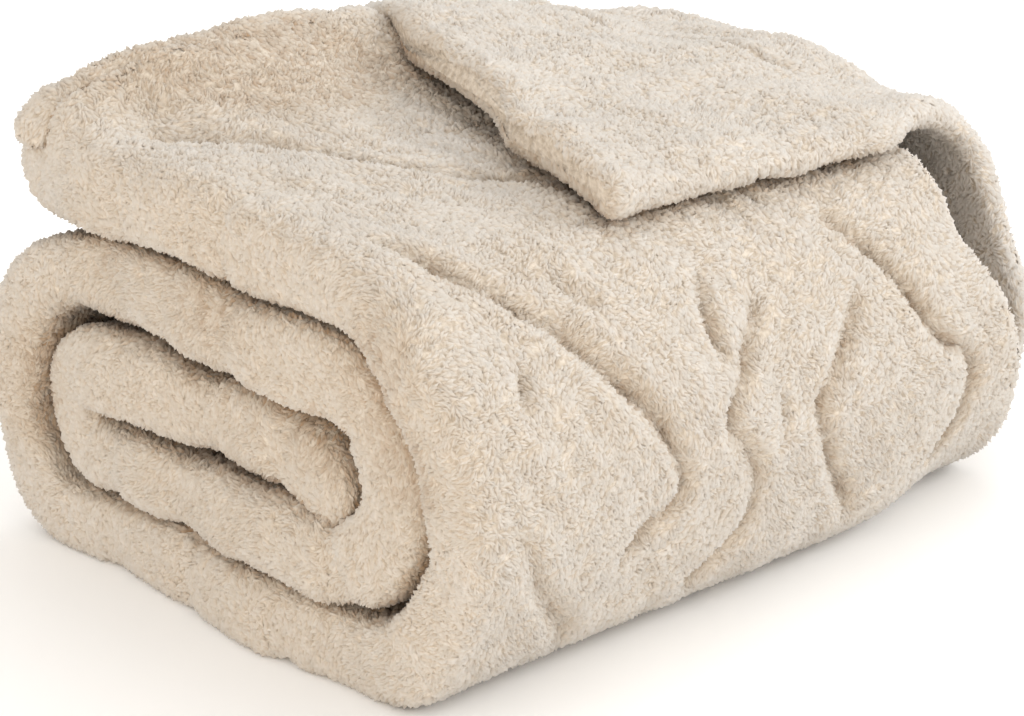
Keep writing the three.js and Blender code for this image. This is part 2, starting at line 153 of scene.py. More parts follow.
# Straight runs joined by arcs. A corner that turns by t is cut back by bend * tan(t / 2), and its
# arc is centre + bend * side * (sin a, -cos a) while the heading a goes round.
def roundedPath(rows):
    corners = np.array([[row["y"], row["z"]] for row in rows], float)
    runs = np.diff(corners, axis=0)
    angles = np.arctan2(runs[:, 1], runs[:, 0])
    start, startThick = corners[0], rows[0]["thick"]
    points, headings, thicks = [corners[:1]], [angles[:1]], [np.array([startThick], float)]
    foot = 0
    for i in range(1, len(rows)):
        row, angle = rows[i], angles[i - 1]
        heading = np.array([math.cos(angle), math.sin(angle)])
        turn = 0 if i == len(rows) - 1 else (angles[i] - angle + math.pi) % (2 * math.pi) - math.pi
        stop = corners[i] - heading * row["bend"] * abs(math.tan(turn / 2))
        step = wound["coverStep"] if i > footRow else wound["innerStep"]
        count = max(1, round(float(np.linalg.norm(stop - start)) / step))
        share = np.linspace(0, 1, count + 1)[1:]
        points.append(start + (stop - start) * share[:, None])
        headings.append(np.full(count, angle))
        thicks.append(mixed(startThick, row["thick"], share))
        if i == footRow:
            foot = sum(map(len, points)) - 1
        if turn:
            side = math.copysign(1, turn)
            step = wound["coverStep"] if i >= footRow else wound["innerStep"]
            count = max(math.ceil(abs(turn) / wound["arcStep"]), round(row["bend"] * abs(turn) / step), 2)
            going = angle + turn * np.linspace(0, 1, count + 1)[1:]
            centre = stop + side * row["bend"] * np.array([-math.sin(angle), math.cos(angle)])
            points.append(centre + side * row["bend"] * np.stack([np.sin(going), -np.cos(going)], 1))
            headings.append(going)
            thicks.append(np.full(count, float(row["thick"])))
        start, startThick = points[-1][-1], row["thick"]
    point = np.concatenate(points)
    gone = np.concatenate([[0], np.cumsum(np.linalg.norm(np.diff(point, axis=0), axis=1))])
    return {
        "y": point[:, 0],
        "z": point[:, 1],
        "heading": np.concatenate(headings),
        "thick": np.concatenate(thicks),
        "length": gone - gone[foot],
    }


# Section of the strip folded in three, walked once round its cloth: top ply, near fold, bottom
# ply, far fold, middle ply, and back along their inner sides. share is the way from the near to
# the far fold, middleX and middleN the cloth's middle line in ply spacings, and outX and outN the
# way from there to its surface in half plies; folds are half circles with both shares raised to
# the power foldFullness.
def foldedSection():
    fold = np.linspace(0, math.pi, wound["foldColumns"])[1:-1]
    tight = np.linspace(0, math.pi, wound["tightColumns"])[1:-1]
    inFold, inTight = fold[::2][::-1], tight[::2][::-1]
    top, flat = np.linspace(1, 0, wound["topColumns"]), np.linspace(0, 1, wound["plainColumns"])
    inner = np.linspace(wound["innerTurn"], 1, wound["plainColumns"])
    full = wound["foldFullness"]

    def sin(angle):
        return np.sin(angle) ** full

    def cos(angle):
        return np.sign(np.cos(angle)) * np.abs(np.cos(angle)) ** full

    parts = [
        ("top", top, 0, 1, 0, 1),
        ("nearFold", 0 * fold, -sin(fold), cos(fold), -sin(fold), cos(fold)),
        ("bottom", flat, 0, -1, 0, -1),
        ("farFold", 1 + 0 * tight, sin(tight) / 2, -0.5 - cos(tight) / 2, sin(tight), -cos(tight)),
        ("inside", inner[::-1], 0, 0, 0, 1),
        ("inside", inner[0] + 0 * tight, 0, 0, -sin(tight), cos(tight)),
        ("inside", inner, 0, 0, 0, -1),
        ("inside", 1 + 0 * inTight, sin(inTight) / 2, -0.5 - cos(inTight) / 2, -sin(inTight), cos(inTight)),
        ("inside", flat[::-1], 0, -1, 0, 1),
        ("inside", 0 * inFold, -sin(inFold), cos(inFold), sin(inFold), -cos(inFold)),
        ("topInside", flat, 0, 1, 0, -1),
        ("topEdge", 1 + 0 * tight, 0, 1, sin(tight), -cos(tight)),
    ]
    names = np.concatenate([[name] * len(share) for name, share, *_ in parts])
    columns = [
        np.concatenate([np.broadcast_to(part[column], part[1].shape) for part in parts])
        for column in range(1, 6)
    ]
    return names, columns


# Creases of the outer face: x along the roll and the way up the cloth from the foot of the long side, for a
# few points of each line.
creaseTable = [
    {"name": "long sweep", "depth": 6.0, "line": [
        (-146, 196), (-134, 178), (-108, 147), (-84, 120), (-62, 96), (-57, 78), (-76, 66), (-92, 52),
    ]},
    {"name": "under the corner", "depth": 3.0, "line": [
        (-92, 166), (-87, 150), (-72, 140),
    ]},
    {"name": "left foot", "depth": 4.5, "line": [
        (-154, 112), (-151, 95), (-140, 76), (-120, 50), (-95, 26),
    ]},
    {"name": "left tick", "depth": 3.5, "line": [
        (-121, 138), (-127, 126), (-135, 115),
    ]},
    {"name": "middle upper", "depth": 5.0, "line": [
        (-20, 152), (-27, 137), (-31, 122), (-22, 113),
    ]},
    {"name": "middle sweep", "depth": 5.5, "line": [
        (2, 135), (-10, 124), (-24, 110), (-34, 98), (-24, 84), (-16, 70), (-22, 50), (-44, 28),
    ]},
    {"name": "middle dart", "depth": 3.5, "line": [
        (-10, 104), (-4, 92), (-11, 76),
    ]},
    {"name": "leaf left", "depth": 6.0, "line": [
        (48, 132), (36, 116), (20, 101), (15, 88), (22, 68), (36, 48), (46, 30),
    ]},
    {"name": "leaf right", "depth": 6.5, "line": [
        (48, 166), (58, 146), (68, 127), (80, 106), (98, 96), (105, 82), (98, 60), (84, 38),
    ]},
    {"name": "ridge behind", "depth": 3.5, "line": [
        (-140, 318), (-120, 300), (-98, 270), (-78, 240), (-58, 222), (-30, 208),
    ]},
    {"name": "under ply", "depth": 4.0, "line": [
        (10, 210), (22, 180), (30, 160),
    ]},
]
creasing = {
    "width": 3.2,
    "sharp": 0.52,  # how much of the depth is the narrow trough, and how much the broad one
    "soft": 0.33,
    "softWidth": 9.5,
    "rolls": 1.3,
    "rollsAt": 6.5,
    "rollsWidth": 4.0,
    "uneven": 0.3,
    "unevenLength": 24,
    "endFade": 16,
    "fadeFoot": 12,
    "fadeTo": 34,
    "tail": 14,
    "felt": 24,  # how far beside its line a crease is worked out
    "creaseShadeFullAt": 4.5,  # depth at which a crease gets its darkest painted shade
    "creaseShade": 0.35,
}
wrinkling = {"height": 0.55, "length": 17, "stretch": 0.3, "across": 0.74, "along": 0.67, "seed": 81}
farRecess = {"depth": 18, "from": 95, "to": 140}  # the cover ends short under the loose corner
rimRows = [
    {"x": -165, "y": 98, "z": 160, "radius": 8},
    {"x": -150, "y": 96, "z": 168.5, "radius": 9.5},
    {"x": -134, "y": 94, "z": 176.5, "radius": 9.5},
    {"x": -108, "y": 92, "z": 185, "radius": 9},
    {"x": -60, "y": 91, "z": 190, "radius": 9},
    {"x": -20, "y": 91, "z": 189.5, "radius": 9.5},
    {"x": 20, "y": 92, "z": 171, "radius": 9},
]
rising = {
    "under": 157,  # about the cover's own z there; the slope ends at the rim's middle
    "power": 1.7,
    "creaseX": -125,
    "creaseY": 58,
    "slant": 1.75,
    "least": 14,
    "most": 58,
    "topY": 86,
    "endX": 15,
    "fade": 24,
}
rimHides = {"from": 87, "to": 95}  # the slope falls again behind the rim
backWall = {"from": -330, "to": -185}  # lengths of the path where an inner turn shows at the back
outerEnd = 14  # length of the loose hem at the back that carries pile all round


# A smooth line through given points: each span is 0.5 * (2 b + (c - a) s + (2 a - 5 b + 4 c - d) s^2 + (3 b
# - a - 3 c + d) s^3) for its four neighbouring points a, b, c, d.
def smoothLine(points, perSpan=8):
    p = np.array([points[0], *points, points[-1]], float)
    s = np.linspace(0, 1, perSpan, endpoint=False)[:, None]
    spans = [
        0.5 * (2 * b + (c - a) * s + (2 * a - 5 * b + 4 * c - d) * s**2 + (3 * b - a - 3 * c + d) * s**3)
        for a, b, c, d in zip(p, p[1:], p[2:], p[3:])
    ]
    return np.concatenate([*spans, p[-1:]])


# For each place the distance to a smooth line, the way along the line to its nearest point, and
# the line's whole length.
def nearestOn(points, place):
    line = smoothLine(points)
    gone = np.concatenate([[0], np.cumsum(np.linalg.norm(np.diff(line, axis=0), axis=1))])
    best, along = np.full(len(place), 1e3), np.zeros(len(place))
    for a, b, start in zip(line, line[1:], gone):
        share = np.clip(((place - a) @ (b - a)) / ((b - a) @ (b - a)), 0, 1)
        away = np.linalg.norm(place - a - share[:, None] * (b - a), axis=1)
        closer = away < best
        best = np.where(closer, away, best)
        along = np.where(closer, start + share * np.linalg.norm(b - a), along)
    return best, along, gone[-1]


# One crease at each place: a narrow and a broad trough, -depth * (sharp * exp(-(d / width)^2) +
# soft * exp(-(d / softWidth)^2)), with a soft roll beside them, rolls * exp(-((|d| - rollsAt) /
# rollsWidth)^2). It is uneven along its length and fades at its ends.
def creaseAt(crease, place):
    away, along, whole = nearestOn(crease["line"], place)
    ends = smooth(along, 0, creasing["tail"]) * (1 - smooth(along, whole - creasing["tail"], whole))
    narrow = creasing["sharp"] * np.exp(-((away / creasing["width"]) ** 2))
    narrow = narrow * (1 + creasing["uneven"] * np.sin(2 * math.pi * along / creasing["unevenLength"]))
    trough = crease["depth"] * (narrow + creasing["soft"] * np.exp(-((away / creasing["softWidth"]) ** 2)))
    roll = creasing["rolls"] * np.exp(-(((away - creasing["rollsAt"]) / creasing["rollsWidth"]) ** 2))
    return ends * (roll - trough)


# Relief of the outer face at (x, length): the sum of its creases and of small wrinkles that run
# along the sweep, fading out at the foot and at both ends of the roll.
def carvedRelief(x, length, low, high):
    x, length = np.broadcast_arrays(x, length)
    place = np.stack([x, length], -1)
    across = wrinkling["across"] * x + wrinkling["along"] * length
    along = wrinkling["stretch"] * (wrinkling["along"] * x - wrinkling["across"] * length)
    swept = np.stack([across, along, 0 * x], -1)
    relief = wrinkling["height"] * lumps(swept, wrinkling["length"], wrinkling["seed"])
    for crease in creaseTable:
        line = np.array(crease["line"])
        near = (place > line.min(0) - creasing["felt"]).all(-1)
        near &= (place < line.max(0) + creasing["felt"]).all(-1)
        relief[near] += creaseAt(crease, place[near])
    fromFoot = smooth(length, creasing["fadeFoot"], creasing["fadeTo"])
    fromNear = smooth(x, low, low + creasing["endFade"])
    fromFar = 1 - smooth(x, high - creasing["endFade"], high)
    return fromFoot * fromNear * fromFar * relief


# The cover rises in a hollow slope, height * share^power, from its slanting crease up to the rim,
# and falls again behind it.
def rise(x, y):
    start = rising["creaseY"] - rising["slant"] * (x - rising["creaseX"])
    start = np.clip(start, rising["least"], rising["most"])
    share = np.clip((y - start) / (rising["topY"] - start), 0, 1)
    height = np.maximum(0, blendRows(rimRows, "x", x, "z") - rising["under"])
    ended = smooth(x, rising["endX"] - rising["fade"], rising["endX"] + rising["fade"])
    hidden = smooth(y, rimHides["from"], rimHides["to"])
    return height * share ** rising["power"] * (1 - ended) * (1 - hidden)


# The roll narrows towards its far end: y * (1 - loss), where loss is front or back * share, and
# z * (1 - height * share). The foot of that end is rounded off from the front, which adds round *
# smooth(x) * (1 - smooth(z)) to the loss, and the whole foot settles a little on the floor.
def taper(points):
    x, y, z = np.moveaxis(points, -1, 0)
    share = np.clip((x - wound["nearEnd"]) / tapering["length"], 0, tapering["reach"])
    low = 1 - smooth(z, 0, tapering["foot"])
    rounded = footCorner["round"] * smooth(x, footCorner["from"], footCorner["to"]) * low
    loss = np.where(y < 0, tapering["front"] * share * (1 - low) + rounded, tapering["back"] * share)
    settled = tapering["settle"] * (1 - smooth(z, 0, tapering["settleUnder"]))
    lower = z * (1 - tapering["height"] * share) - settled
    return np.stack([x, y * (1 - loss), np.maximum(lower, 0)], -1)


softness = {
    "broad": 1.6,
    "broadLength": 95,
    "broadSeed": 11,
    "fine": 0.6,
    "fineLength": 34,
    "fineSeed": 21,
    "from": 2,  # heights over the floor where it begins and is full
    "to": 30,
}


# Soft unevenness of the whole heap: each point moves by smooth lumps in x, y and z, which fade
# out towards the floor.
def slump(points):
    free = smooth(points[..., 2], softness["from"], softness["to"])[..., None]
    moves = [
        softness["broad"] * lumps(points, softness["broadLength"], softness["broadSeed"] + axis)
        + softness["fine"] * lumps(points, softness["fineLength"], softness["fineSeed"] + axis)
        for axis in range(3)
    ]
    return points + free * np.stack(moves, -1)


# The near fold is pinched here and there and puffs up between: x + depth * pinch - puff, and its
# thickness * (1 + swell - squeeze * pinch), both fading away from the fold by exp(-way / reach).
# pinch is the sum of strength * exp(-((length - at) / width)^2) over the pinches.
pinching = {
    "depth": 5.0,
    "width": 4.2,
    "reach": 15,
    "squeeze": 0.2,
    "swell": 0.07,
    "puff": 1.6,
    "puffLength": 46,
    "seed": 71,
}
# Where and how strongly: the way along the strip is less than 0 on the inner turns.
pinches = [
    (-812, 0.5), (-776, 0.9), (-731, 0.4), (-648, 0.6), (-607, 1.0), (-571, 0.5), (-523, 0.8), (-452, 0.3),
    (-381, 0.4), (-342, 0.6), (-287, 0.3), (-240, 0.5), (-134, 0.7), (-92, 0.4), (-37, 0.6), (63, 0.2),
    (148, 0.3), (241, 0.4), (296, 0.2),
]


# Where the strip carries pile: on its folds, on the hem's edge, on the cover, on the back wall, on
# both faces near both ends of the roll, and all round the loose end.
def stripFur(names, share, length, last):
    top = names == "top"
    atEnds = (share < wound["nearFur"]) | (share > wound["farFur"])
    onBack = (length > backWall["from"]) & (length < backWall["to"])
    furry = np.isin(names, ["nearFold", "farFold", "topEdge"]) | (top & ((length > 0) | onBack))
    furry |= np.isin(names, ["top", "bottom"]) & atEnds
    furry |= ~np.isin(names, ["inside", "topInside"]) & (length > last - outerEnd)
    return furry


# Each ring of the wound strip is the section carried to one station of the path:
# (x, y, z) = (x, path y - n sin(heading), path z + n cos(heading)), n being the way out from the
# path. A few more rings round off its two short hems. Returns the rings, where they carry pile, the
# path, and how deep in a crease each point lies, from 0 to 1.
def woundStrip():
    path = roundedPath(turns)
    names, (share, middleX, middleN, outX, outN) = foldedSection()
    stations, more = len(path["y"]), len(endTurns)
    order = np.concatenate([np.zeros(more, int), np.arange(stations), np.full(more, stations - 1)])
    turned = np.concatenate([endTurns, np.zeros(stations), endTurns[::-1]])
    side = np.concatenate([-np.ones(more), np.zeros(stations), np.ones(more)])
    y, z, heading, thick, length = (
        path[key][order][:, None] for key in ("y", "z", "heading", "thick", "length")
    )
    squeeze, ahead = np.cos(turned)[:, None], (side * np.sin(turned))[:, None]
    spacing, half = wound["plySpacing"] * thick, wound["halfPly"] * thick
    wave = np.sin(2 * math.pi * length / endWave["length"] + endWave["phase"])
    onCover = length > 0
    recess = onCover * farRecess["depth"] * smooth(length, farRecess["from"], farRecess["to"])
    low = wound["nearEnd"] + wound["inset"] + endWave["depth"] * (1 + wave) + spacing + half
    high = wound["farEnd"] - wound["inset"] - endWave["depth"] * (1 - wave) - recess - spacing / 2 - half
    hem = np.isin(names, ["top", "topInside", "topEdge"])
    slack = hem * share * wound["hemSlack"] * np.sin(length / wound["slackLength"])
    x = mixed(low, high, share) + spacing * middleX + half * squeeze * outX + slack
    folded = np.exp(-np.maximum(x - low, 0) / pinching["reach"])
    pinch = sum(strength * np.exp(-(((length - at) / pinching["width"]) ** 2)) for at, strength in pinches)
    alongOnly = np.concatenate([length, 0 * length, 0 * length], 1)
    puff = pinching["puff"] * lumps(alongOnly, pinching["puffLength"], pinching["seed"])[:, None]
    x = x + folded * (pinching["depth"] * pinch - puff)
    fuller = 1 + folded * (pinching["swell"] - pinching["squeeze"] * pinch)
    n = (spacing * middleN * squeeze + half * squeeze * outN) * fuller
    relief = (names == "top") * onCover * carvedRelief(x, length, low, high)
    n = n + relief
    spot = y - n * np.sin(heading)
    lifted = hem + (names == "nearFold") * (1 + middleN) / 2
    n = n + lifted * onCover * squeeze * rise(x, spot)
    forward = ahead * thick / 2
    rings = np.stack(
        [
            x + 0 * n,
            y - n * np.sin(heading) + forward * np.cos(heading),
            z + n * np.cos(heading) + forward * np.sin(heading),
        ],
        -1,
    )
    furry = stripFur(names, share, length, path["length"].max())
    return rings, furry, path, np.clip(-relief / creasing["creaseShadeFullAt"], 0, 1)


# The rim and the upper ply

rim = {
    "rings": 74,
    "sides": 44,
    "inset": 1.4,
    "lumps": 0.5,
    "lumpLength": 38,
    "lumpRadius": 20,  # larger than the tube, so that its sides differ more
    "endRound": 0.97,
    "seed": 5,
}
plyRows = [
    {"y": 92, "lift": 18},
    {"y": 70, "lift": 19},
    {"y": 20, "lift": 19},
    {"y": -40, "lift": 14},
    {"y": -84, "lift": 12},
    {"y": -100, "lift": 12},
]
plyBackRows = [
    {"share": 0, "y": 107, "lift": -20},
    {"share": 0.07, "y": 114, "lift": -3},
    {"share": 0.14, "y": 107, "lift": 11},
    {"share": 0.21, "y": 92, "lift": 18},
]
plyShares = {"cornerFrom": 0.46, "topEnd": 0.6, "skirtFrom": 0.7, "turnEnd": 0.76, "skirtFull": 0.9}
plyLeftRows = [
    {"y": 110, "x": 8},
    {"y": 40, "x": -13},
    {"y": 5, "x": -22},
    {"y": -25, "x": -34},
    {"y": -95, "x": -49},
]
plyCant = {"left": 6.5, "right": -7.5, "leftX": 30, "rightX": 120, "frontY": -20, "backY": 80}
plyTurn = {
    "x": 129,
    "radius": 40,
    "drop": 101,
    "tuck": 22,  # how far the ply comes back under itself as it hangs
    "backDraw": 34,  # how far its back edge is drawn in
    "backShare": 0.3,
    "cornerLift": 26,
}
plySag = {"by": 4.5, "fromX": 70, "toX": 120, "y": -18, "reach": 38}
plyFront = {"tipY": -84, "y": -82, "cornerY": -67, "skirtY": -104}
plyGroove = {
    "depth": 3.6,
    "line": [(86, 98), (79, 72), (76, 51), (97, 50), (103, 28), (105, -1), (115, -28)],
}
upperPly = {
    "half": 5.0,
    "along": 118,
    "across": 84,
    "hemHalf": 9.0,  # half thickness of the hem on the left
    "hemWidth": 34,
    "hemRidge": 1.3,
    "ridgeAt": 4,
    "ridgeWidth": 4,
    "edgeFull": 0.45,  # how square the hem's edge is
    "edgeOut": 0.7,
    "edgeTurns": (80, 55, 30),  # degrees, of the rings that round off its two ends
    "edgeColumns": 8,
    "tipThin": 0.3,
    "tipFrom": 0.8,
    "streak": 0.9,
    "streakLength": 21,
    "streakStretch": 0.35,
    "seed": 23,
    "coverFrom": 40,  # length of the path from where the cover under it is read
}


# The rim is a tube along the back: centre + radius * (cos a, sin a), with soft lumps. Its near end
# is rounded: radius * sqrt(1 - endRound * (1 - way in)^2).
def rimRoll():
    x = np.linspace(rimRows[0]["x"], rimRows[-1]["x"], rim["rings"])[:, None]
    angle = np.linspace(0, 2 * math.pi, rim["sides"], endpoint=False)[None, :]
    y, z, radius = (blendRows(rimRows, "x", x, key) for key in ("y", "z", "radius"))
    rings = np.stack([x + 0 * angle, y + 0 * angle, z + 0 * angle], -1)
    across, up = rim["lumpRadius"] * np.cos(angle), rim["lumpRadius"] * np.sin(angle)
    around = np.stack([x + 0 * angle, across + 0 * x, up + 0 * x], -1)
    radius = radius - rim["inset"] + rim["lumps"] * lumps(rings + around, rim["lumpLength"], rim["seed"])
    ended = np.clip((x - rimRows[0]["x"]) / rimRows[0]["radius"], 0, 1)
    radius = radius * np.sqrt(1 - rim["endRound"] * (1 - ended) ** 2)
    rings[..., 1] += radius * np.cos(angle)
    rings[..., 2] += radius * np.sin(angle)
    return rings


# Height of the cover's outer face above y, before the taper.
def coverHeight(path):
    keep = path["length"] > upperPly["coverFrom"]
    y = (path["y"] - path["thick"] / 2 * np.sin(path["heading"]))[keep]
    z = (path["z"] + path["thick"] / 2 * np.cos(path["heading"]))[keep]
    order = np.argsort(y)
    return lambda at: np.interp(at, y[order], z[order])


# Middle of the upper ply. along runs from its left edge to the far end and down over it, across
# from the back edge to the front edge. On top z is the cover's height + lift, with a cant to the
# back and a sag. At the far end the ply turns down through a quarter circle and hangs.
def plyMiddle(along, across, heightAt):
    shares = plyShares
    back = plyBackRows[-1]
    isBack = across < back["share"]
    edge = mixed(plyFront["tipY"], plyFront["y"], smooth(along, 0, shares["topEnd"]))
    corner = mixed(edge, plyFront["cornerY"], smooth(along, shares["cornerFrom"], shares["topEnd"]))
    front = mixed(corner, plyFront["skirtY"], smooth(along, shares["skirtFrom"], shares["skirtFull"]))
    forward = (across - back["share"]) / (1 - back["share"])
    backY, backLift = (blendRows(plyBackRows, "share", across, key) for key in ("y", "lift"))
    y = np.where(isBack, backY, mixed(back["y"], front, forward))
    lift = np.where(isBack, backLift, blendRows(plyRows, "y", y, "lift"))
    angle = np.clip((along - shares["topEnd"]) / (shares["turnEnd"] - shares["topEnd"]), 0, 1) * math.pi / 2
    fall = np.maximum(0, along - shares["turnEnd"]) / (1 - shares["turnEnd"])
    turning = smooth(along, shares["cornerFrom"], shares["turnEnd"])
    behind = (1 - smooth(across, 0, plyTurn["backShare"])) * turning
    left = blendRows(plyLeftRows, "y", y, "x")
    onTop = mixed(left, plyTurn["x"], along / shares["topEnd"])
    reach = np.where(along < shares["topEnd"], onTop, plyTurn["x"] + plyTurn["radius"] * np.sin(angle))
    x = reach - plyTurn["tuck"] * fall**2 - plyTurn["backDraw"] * behind
    cant = mixed(plyCant["left"], plyCant["right"], smooth(x, plyCant["leftX"], plyCant["rightX"]))
    lift = lift + cant * smooth(y, plyCant["frontY"], plyCant["backY"])
    sagging = np.exp(-(((y - plySag["y"]) / plySag["reach"]) ** 2))
    lift = lift - plySag["by"] * (smooth(x, plySag["fromX"], plySag["toX"]) * sagging)
    ends = np.abs(2 * across - 1) ** 3
    down = plyTurn["radius"] * (1 - np.cos(angle)) + fall * (plyTurn["drop"] - plyTurn["cornerLift"] * ends)
    return np.stack([x, y, heightAt(y) + lift - down], -1)


# The upper ply is a closed sheet: rings that run over its upper face from the back to the front
# edge and back over its lower face, each point middle + normal * half * rounding. The left hem is
# thicker, with a square edge and a low ridge along it.
def plySheet(path):
    heightAt = coverHeight(path)
    across = np.linspace(0, 1, upperPly["across"])[None, :]
    along = np.linspace(0, 1, upperPly["along"])[:, None]
    middle = plyMiddle(along, across, heightAt)
    stepAlong = np.gradient(middle, axis=0)
    stepAcross = np.gradient(middle, axis=1)
    normal = unit(np.cross(stepAcross, stepAlong))
    outAlong, outAcross = unit(stepAlong), unit(stepAcross)
    fromLeft = np.linalg.norm(np.cumsum(stepAlong, axis=0), axis=-1)
    hem = (upperPly["hemHalf"] - upperPly["half"]) * np.exp(-((fromLeft / upperPly["hemWidth"]) ** 2))
    half = upperPly["half"] + hem * (1 - upperPly["tipThin"] * smooth(across, upperPly["tipFrom"], 1))
    fromRidge = (fromLeft - upperPly["ridgeAt"]) / upperPly["ridgeWidth"]
    ridge = upperPly["hemRidge"] * np.exp(-(fromRidge**2))
    stretched = middle * np.array([upperPly["streakStretch"], 1, 1])
    streaks = upperPly["streak"] * lumps(stretched, upperPly["streakLength"], upperPly["seed"])
    relief = creaseAt(plyGroove, middle[..., :2].reshape(-1, 2)).reshape(middle.shape[:2])
    edges = np.radians(upperPly["edgeTurns"])
    edgeTurn = np.linspace(math.pi / 2, -math.pi / 2, upperPly["edgeColumns"])[1:-1, None]
    out, up = np.cos(edgeTurn), np.sin(edgeTurn)
    rows = []
    for row, turned, side in (
        [(0, t, -1) for t in edges]
        + [(i, 0.0, 0) for i in range(upperPly["along"])]
        + [(upperPly["along"] - 1, t, 1) for t in edges[::-1]]
    ):
        thin = half[row] * math.cos(turned) ** upperPly["edgeFull"]
        endOut = side * upperPly["edgeOut"] * math.sin(turned)
        spot = middle[row] + endOut * half[row][:, None] * outAlong[row]
        above = spot + normal[row] * (thin + streaks[row] + ridge[row] + relief[row])[:, None]
        below = spot - normal[row] * thin[:, None]
        frontEdge = spot[-1] + thin[-1] * (out * outAcross[row][-1] + up * normal[row][-1])
        backEdge = spot[0] + thin[0] * (-out * outAcross[row][0] - up * normal[row][0])
        rows.append(np.concatenate([above, frontEdge, below[::-1], backEdge]))
    return np.stack(rows)


# A closed skin over rings of equal length: quad (i, j) joins ring i to ring i + 1, and each open
# end gets one face. All are turned round where the volume inside them comes out below 0. Returns
# the points, the quads and the two ends, with their corners numbered from offset.
def skin(rings, offset):
    count, around = rings.shape[:2]
    points = rings.reshape(-1, 3)
    i, j = np.meshgrid(np.arange(count - 1), np.arange(around), indexing="ij")
    a, b = i * around + j, i * around + (j + 1) % around
    quads = np.stack([a, b, b + around, a + around], -1).reshape(-1, 4)
    p = points[quads]
    volume = (p[:, 0] * np.cross(p[:, 1], p[:, 2])).sum() + (p[:, 0] * np.cross(p[:, 2], p[:, 3])).sum()
    ends = [np.arange(around)[::-1], (count - 1) * around + np.arange(around)]
    if volume < 0:
        quads = quads[:, ::-1]
        ends = [end[::-1] for end in ends]
    return points, quads + offset, [end + offset for end in ends]


# An object from points in the roll's own millimetres, each face's corners and where each face starts.
def meshObject(name, points, corners, starts, material):
    mesh = bpy.data.meshes.new(name)
    mesh.vertices.add(len(points))
    mesh.vertices.foreach_set("co", ((points + shift) * mm).ravel().astype(np.float32))
    mesh.loops.add(len(corners))
    mesh.loops.foreach_set("vertex_index", corners.astype(np.int32))
    mesh.polygons.add(len(starts))
    mesh.polygons.foreach_set("loop_start", starts.astype(np.int32))
    mesh.polygons.foreach_set("use_smooth", np.ones(len(starts), bool))
    mesh.update(calc_edges=True)
    mesh.validate()
    mesh.materials.append(material)
    item = bpy.data.objects.new(name, mesh)
    bpy.context.scene.collection.objects.link(item)
    return item


# Materials

# The pile's tone runs from deep, a painted shade colour for gaps, hollows and shaded sides, through middle
# to light.
colours = {  # linear
    "light": (0.78, 0.735, 0.68, 1),
    "middle": (0.70, 0.62, 0.525, 1),
    "deep": (0.45, 0.3, 0.18, 1),
    "ground": (0.5, 0.42, 0.33, 1),
}
plush = {"Roughness": 0.95, "Specular IOR Level": 0.15, "Sheen Weight": 0.25, "Sheen Roughness": 0.6}
grain = {"scale": 420, "detail": 3, "bump": 0.8, "bumpDistance": 0.0015, "from": 0.36, "to": 0.64}
footShade = [  # what a curl's colour is multiplied by, from its foot to its crest
    (0.0, (0.82, 0.74, 0.66, 1)),
    (0.5, (0.96, 0.94, 0.92, 1)),
    (1.0, (1, 1, 1, 1)),
]


def plushMaterial(name):
    material = bpy.data.materials.new(name)
    material.use_nodes = True
    nodes, links = material.node_tree.nodes, material.node_tree.links
    nodes.clear()
    shader = nodes.new("ShaderNodeBsdfPrincipled")
    output = nodes.new("ShaderNodeOutputMaterial")
    links.new(shader.outputs[0], output.inputs["Surface"])
    for socket, value in plush.items():
        shader.inputs[socket].default_value = value
    return material, nodes, links, shader


# A colour ramp from a list of (position, colour).
def ramp(nodes, stops):
    node = nodes.new("ShaderNodeValToRGB")
    elements = node.color_ramp.elements
    elements[0].position, elements[0].color = stops[0]
    elements[1].position, elements[1].color = stops[-1]
    for position, colour in stops[1:-1]:
        elements.new(position).color = colour
    return node


# The ground of the plush, seen between the curls: fine noise turns its colour and its bump. Its colour runs
# from the darker ground tone up to the middle one, which is painted shade between the curls.
def clothMaterial():
    material, nodes, links, shader = plushMaterial("plushGround")
    place = nodes.new("ShaderNodeTexCoord")
    noise = nodes.new("ShaderNodeTexNoise")
    noise.inputs["Scale"].default_value = grain["scale"]
    noise.inputs["Detail"].default_value = grain["detail"]
    tone = ramp(nodes, [(grain["from"], colours["ground"]), (grain["to"], colours["middle"])])
    bump = nodes.new("ShaderNodeBump")
    bump.inputs["Strength"].default_value = grain["bump"]
    bump.inputs["Distance"].default_value = grain["bumpDistance"]
    links.new(place.outputs["Object"], noise.inputs["Vector"])
    links.new(noise.outputs["Fac"], tone.inputs["Fac"])
    links.new(tone.outputs["Color"], shader.inputs["Base Color"])
    links.new(noise.outputs["Fac"], bump.inputs["Height"])
    links.new(bump.outputs["Normal"], shader.inputs["Normal"])
    return material


# A curl's colour: its tone, which carries painted shade and painted light, runs across the map, and foot to
# crest runs up it.
def pileMaterial():
    material, nodes, links, shader = plushMaterial("plushPile")
    place = nodes.new("ShaderNodeUVMap")
    place.uv_map = "OFBake"
    parts = nodes.new("ShaderNodeSeparateXYZ")
    tone = ramp(nodes, [(0.0, colours["deep"]), (0.5, colours["middle"]), (1.0, colours["light"])])
    depth = ramp(nodes, footShade)
    mix = nodes.new("ShaderNodeMix")
    mix.data_type = "RGBA"
    mix.blend_type = "MULTIPLY"
    mix.inputs["Factor"].default_value = 1
    links.new(place.outputs["UV"], parts.inputs[0])
    links.new(parts.outputs["X"], tone.inputs["Fac"])
    links.new(parts.outputs["Y"], depth.inputs["Fac"])
    links.new(tone.outputs["Color"], mix.inputs["A"])
    links.new(depth.outputs["Color"], mix.inputs["B"])
    links.new(mix.outputs["Result"], shader.inputs["Base Color"])
    return material


ground, pile = clothMaterial(), pileMaterial()

# The cloth

